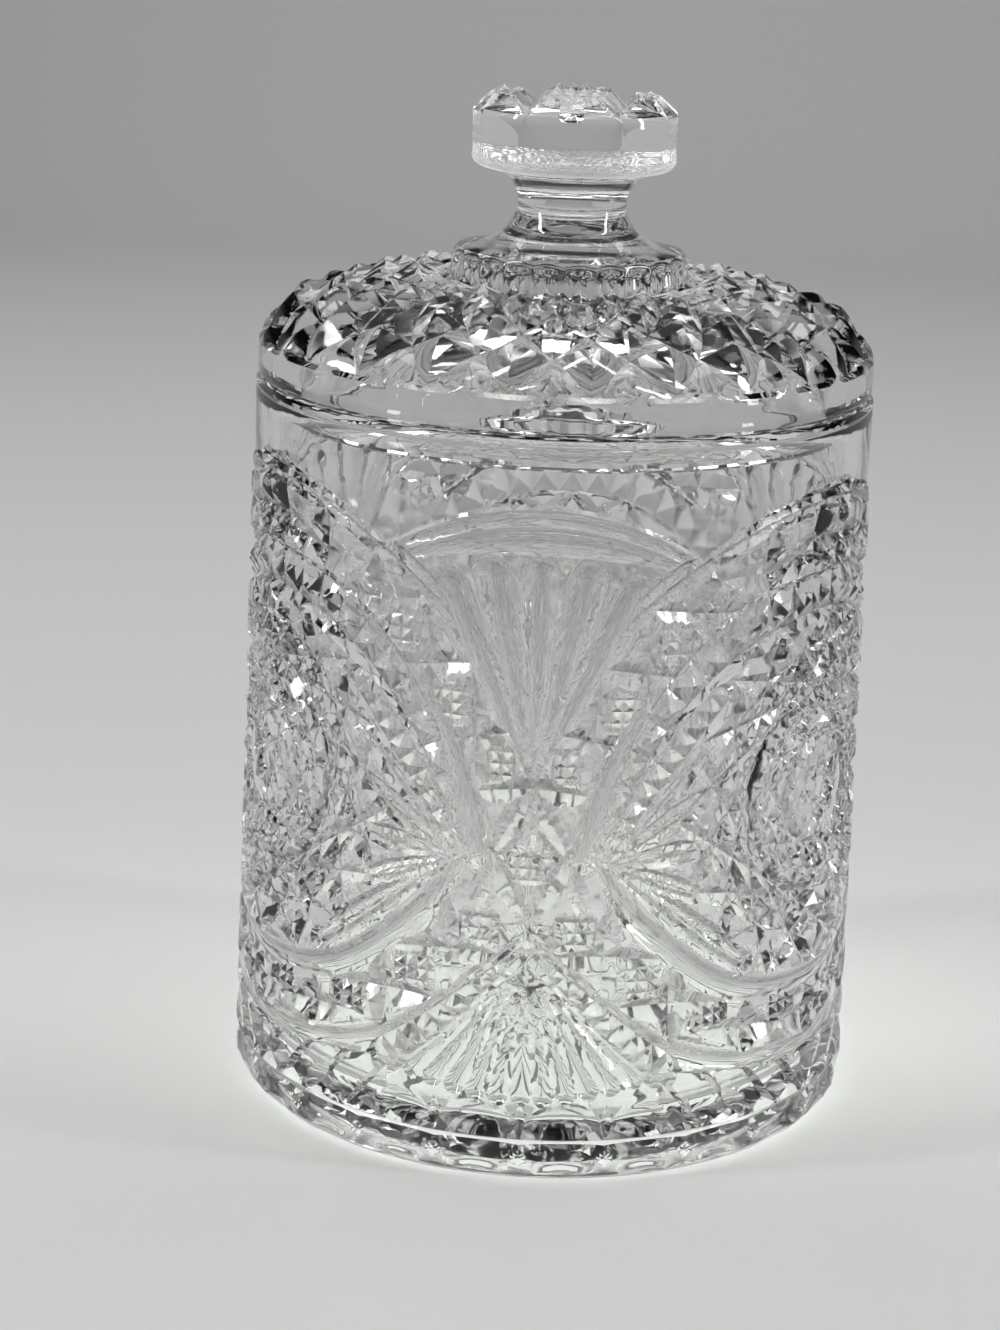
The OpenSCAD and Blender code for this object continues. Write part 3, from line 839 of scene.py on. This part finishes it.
def maths(tree, operation, *values):
    """The output of a Math node. Each value is a socket to link or a number."""
    made = node(tree, "ShaderNodeMath", operation=operation)
    for socket, value in zip(made.inputs, values):
        if isinstance(value, bpy.types.NodeSocket):
            tree.links.new(value, socket)
        else:
            socket.default_value = value
    return made.outputs["Value"]


def ramp(tree, value, start, end, low=0.0, high=1.0):
    """A value that goes from low to high while another goes from start to end."""
    made = node(tree, "ShaderNodeMapRange", From_Min=start, From_Max=end, To_Min=low, To_Max=high)
    tree.links.new(value, made.inputs["Value"])
    return made.outputs["Result"]


def stippled(tree, place, z, grain, rough, normal):
    """Frosts and pits the bevel under the knob. Returns the roughness and the normal with it."""
    edge = maths(tree, "MULTIPLY_ADD", grain, BEVEL_RAGGED, z)
    below = ramp(tree, edge, BEVEL_TOP + BEVEL_FADE, BEVEL_TOP)
    above = ramp(tree, edge, BEVEL_FOOT, BEVEL_FOOT + BEVEL_FADE)
    bevel = maths(tree, "MULTIPLY", below, above)
    pits = node(tree, "ShaderNodeTexVoronoi", Scale=2200.0)
    tree.links.new(place, pits.inputs["Vector"])
    pitted = node(tree, "ShaderNodeBump", Strength=0.8, Distance=0.0003)
    tree.links.new(maths(tree, "MULTIPLY", pits.outputs["Distance"], bevel), pitted.inputs["Height"])
    tree.links.new(normal, pitted.inputs["Normal"])
    return maths(tree, "MULTIPLY_ADD", bevel, FROST_ROUGH, rough), pitted.outputs["Normal"]


def glass_material(name, low, high, stipple):
    """Clear pressed glass with fine ripples from the mould.

    The pattern, between the heights low and high in metres, has a duller polish than the plain glass, and
    its cuts get painted shade in their colour, darker the deeper they are. stipple adds the stippled bevel
    under the lid's knob.
    """
    mat = bpy.data.materials.new(name)
    mat.use_nodes = True
    tree = mat.node_tree
    tree.nodes.clear()
    link = tree.links.new
    out = node(tree, "ShaderNodeOutputMaterial")
    glass = node(tree, "ShaderNodeBsdfPrincipled", Transmission_Weight=1.0, IOR=1.52)
    # painted shade: the glass's colour turns from clear towards grey the deeper each point is cut
    cuts = node(tree, "ShaderNodeAttribute", attribute_name="shade_by_cut")
    painted_shade_mix = node(tree, "ShaderNodeMix", data_type="RGBA")
    painted_shade_mix.inputs["A"].default_value = (0.98, 0.983, 0.977, 1)
    painted_shade_mix.inputs["B"].default_value = (0.72, 0.73, 0.725, 1)
    link(cuts.outputs["Fac"], painted_shade_mix.inputs["Factor"])
    link(painted_shade_mix.outputs["Result"], glass.inputs["Base Color"])
    place = node(tree, "ShaderNodeTexCoord").outputs["Object"]
    ripple = node(tree, "ShaderNodeTexNoise", Scale=90.0, Detail=2.0, Roughness=0.5)
    grain = node(tree, "ShaderNodeTexNoise", Scale=700.0, Detail=3.0)
    split = node(tree, "ShaderNodeSeparateXYZ")
    for texture in (ripple, grain, split):
        link(place, texture.inputs["Vector"])
    z = split.outputs["Z"]
    pattern = maths(tree, "MULTIPLY", ramp(tree, z, low, low + FADE), ramp(tree, z, high + FADE, high))
    dull = ramp(tree, grain.outputs["Fac"], 0.35, 0.75, *DULL_ROUGH)
    rough = maths(tree, "MULTIPLY_ADD", dull, pattern, PLAIN_ROUGH)
    bump = node(tree, "ShaderNodeBump", Strength=0.25, Distance=0.0004)
    link(ripple.outputs["Fac"], bump.inputs["Height"])
    normal = bump.outputs["Normal"]
    if stipple:
        rough, normal = stippled(tree, place, z, grain.outputs["Fac"], rough, normal)
    link(rough, glass.inputs["Roughness"])
    link(normal, glass.inputs["Normal"])
    path = node(tree, "ShaderNodeLightPath")
    through = node(tree, "ShaderNodeBsdfTransparent", Color=(0.86, 0.87, 0.86, 1))
    mix = node(tree, "ShaderNodeMixShader")
    link(path.outputs["Is Shadow Ray"], mix.inputs["Fac"])
    link(glass.outputs["BSDF"], mix.inputs[1])
    link(through.outputs["BSDF"], mix.inputs[2])
    link(mix.outputs["Shader"], out.inputs["Surface"])
    return mat


def plain_material(name, colour, rough):
    mat = bpy.data.materials.new(name)
    mat.use_nodes = True
    shader = mat.node_tree.nodes["Principled BSDF"]
    shader.inputs["Base Color"].default_value = (*colour, 1)
    shader.inputs["Roughness"].default_value = rough
    return mat


# ---------------------------------------------------------------- stage, lights and camera
def sweep():
    """A pale floor that curves up into the backdrop."""
    half, front, depth, height, bend = 0.58, -1.1, 1.9, 0.75, 0.6
    rows = [(front, 0.0), (depth - bend, 0.0)]
    for a in np.radians(np.linspace(0, 90, 17)[1:]):
        rows.append((depth - bend + bend * math.sin(a), bend - bend * math.cos(a)))
    rows.append((depth, height))
    points = [(x, y, z) for y, z in rows for x in (-half, half)]
    faces = [(2 * i, 2 * i + 1, 2 * i + 3, 2 * i + 2) for i in range(len(rows) - 1)]
    mesh = bpy.data.meshes.new("sweep")
    mesh.from_pydata(points, [], faces)
    mesh.shade_smooth()
    made = bpy.data.objects.new("sweep", mesh)
    bpy.context.scene.collection.objects.link(made)
    made.data.materials.append(plain_material("pale_floor", (0.78, 0.78, 0.775), 0.6))


def lamp(name, place, target, size, power):
    """A rectangular lamp that faces a target."""
    data = bpy.data.lights.new(name, "AREA")
    data.shape = "RECTANGLE"
    data.size, data.size_y = size
    data.energy = power
    made = bpy.data.objects.new(name, data)
    bpy.context.scene.collection.objects.link(made)
    made.location = place
    made.rotation_euler = (Vector(target) - Vector(place)).to_track_quat("-Z", "Y").to_euler()


def camera():
    """The photograph's view: focal length in pixels of a picture 1330 pixels high."""
    focal_px, long_px, sensor = 2902.8, 1330, 36.0
    distance, height = 0.6565, 0.2911
    pitch, yaw, roll, turn = 0.2865, -0.0189, 0.0366, math.radians(2.5)
    spin = Matrix.Rotation(turn, 3, "Z")
    ahead = Vector((math.sin(yaw) * math.cos(pitch), math.cos(yaw) * math.cos(pitch), -math.sin(pitch)))
    right = ahead.cross(Vector((0, 0, 1))).normalized()
    up = right.cross(ahead)
    right, up = math.cos(roll) * right + math.sin(roll) * up, math.cos(roll) * up - math.sin(roll) * right
    data = bpy.data.cameras.new("camera")
    data.sensor_width = sensor
    data.lens = focal_px * sensor / long_px
    data.clip_start, data.clip_end = 0.02, 30
    made = bpy.data.objects.new("camera", data)
    bpy.context.scene.collection.objects.link(made)
    axes = Matrix((spin @ right, spin @ up, spin @ -ahead)).transposed()
    made.matrix_world = Matrix.Translation(spin @ Vector((0, -distance, height))) @ axes.to_4x4()
    bpy.context.scene.camera = made


def world(seen, level):
    """A dim room. Seen directly, in a reflection or through glass, it has pale walls and a dark ceiling."""
    wall_top, ceiling = 0.22, 0.38  # sines of their angles above the horizon
    made = bpy.data.worlds.new("studio")
    made.use_nodes = True
    tree = made.node_tree
    link = tree.links.new
    back = tree.nodes["Background"]
    back.inputs["Strength"].default_value = 1.0
    path = node(tree, "ShaderNodeLightPath")
    bent = maths(tree, "MAXIMUM", path.outputs["Is Glossy Ray"], path.outputs["Is Transmission Ray"])
    shown = maths(tree, "MAXIMUM", path.outputs["Is Camera Ray"], bent)
    split = node(tree, "ShaderNodeSeparateXYZ")
    link(node(tree, "ShaderNodeTexCoord").outputs["Generated"], split.inputs["Vector"])
    walls = ramp(tree, split.outputs["Z"], ceiling, wall_top)
    mix = node(tree, "ShaderNodeMix", data_type="RGBA")
    mix.inputs["A"].default_value = (*level, 1)
    mix.inputs["B"].default_value = (*seen, 1)
    link(maths(tree, "MULTIPLY", shown, walls), mix.inputs["Factor"])
    link(mix.outputs["Result"], back.inputs["Color"])
    bpy.context.scene.world = made


# ---------------------------------------------------------------- the object
jar_glass = jar_piece()
lid_glass = lid_piece()
BELOW_FOOT, ARCH_TOP = -0.01, (COLLAR_FOOT - 1) * MM
DOME_FOOT, DOME_END = (SHOULDER_Z + 3.5) * MM, (DOME_TOP - 2.5) * MM
jar_glass.data.materials.append(glass_material("jar_glass", BELOW_FOOT, ARCH_TOP, stipple=False))
lid_glass.data.materials.append(glass_material("lid_glass", DOME_FOOT, DOME_END, stipple=True))
for piece, body in ((jar_glass, "jar"), (lid_glass, "lid")):
    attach(piece, body)
    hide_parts(body)

sweep()
world((0.42, 0.42, 0.42), (0.03, 0.03, 0.031))
lamp("key", (-1.3, -0.5, 1.1), (0, 0, 0.12), (0.16, 1.3), 12)
lamp("fill", (1.4, -0.2, 0.9), (0, 0, 0.12), (0.14, 1.3), 9)
lamp("top", (0.1, 0.4, 1.7), (0, 0, 0.1), (1.6, 0.9), 13)
camera()
bpy.context.scene.view_settings.view_transform = "Standard"
